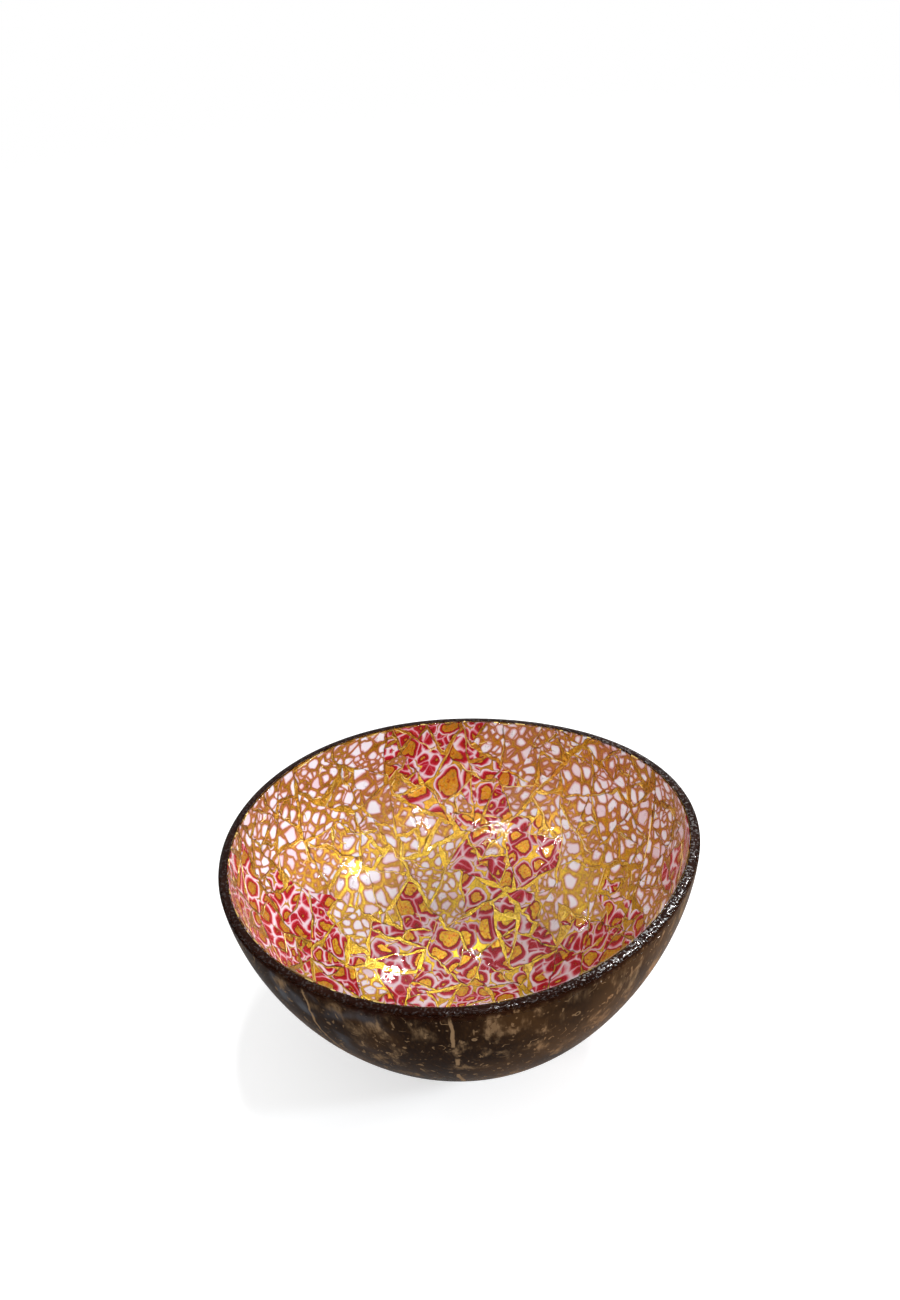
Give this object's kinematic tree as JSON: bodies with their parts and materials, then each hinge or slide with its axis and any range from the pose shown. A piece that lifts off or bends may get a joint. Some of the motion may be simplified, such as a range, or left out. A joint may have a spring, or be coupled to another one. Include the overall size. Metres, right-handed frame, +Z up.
{
  "type": "coconut shell bowl",
  "caption": "Bowl made from half a coconut shell, with a polished fibrous outside, a dark sealed rim and a lacquered lining of red and white shards laid on gold.",
  "frame": {"origin": "middle of the flat sanded foot, on the plane that the bowl stands on", "axes": "+Z up through the mouth, +X along the plan's long diameter to the right, -Y towards the front"},
  "size_m": [0.1374, 0.1334, 0.0665],
  "materials": {
    "coconut_shell": "sanded and polished coconut shell, dark brown with pale fibres",
    "dark_lacquer": "near-black glossy lacquer",
    "ground_coat": "pale pinkish ground coat, matt",
    "gold_lacquer": "gold-coloured lacquer under clear gloss",
    "white_film": "painted film with white pebbles in a gold-brown net",
    "red_film": "painted film with red and orange-gold pebbles in a pinkish-white net",
    "gold_film": "bright gold-coloured film",
    "clear_lacquer": "clear glossy lacquer"
  },
  "bodies": {
    "root": {"coconut_shell": "coconut_shell", "rim_lacquer": "dark_lacquer", "ground_coat": "ground_coat", "gold_ground": "gold_lacquer", "white_shards": "white_film", "red_shards": "red_film", "gold_slivers": "gold_film", "clear_lacquer": "clear_lacquer"}
  },
  "joints": []
}
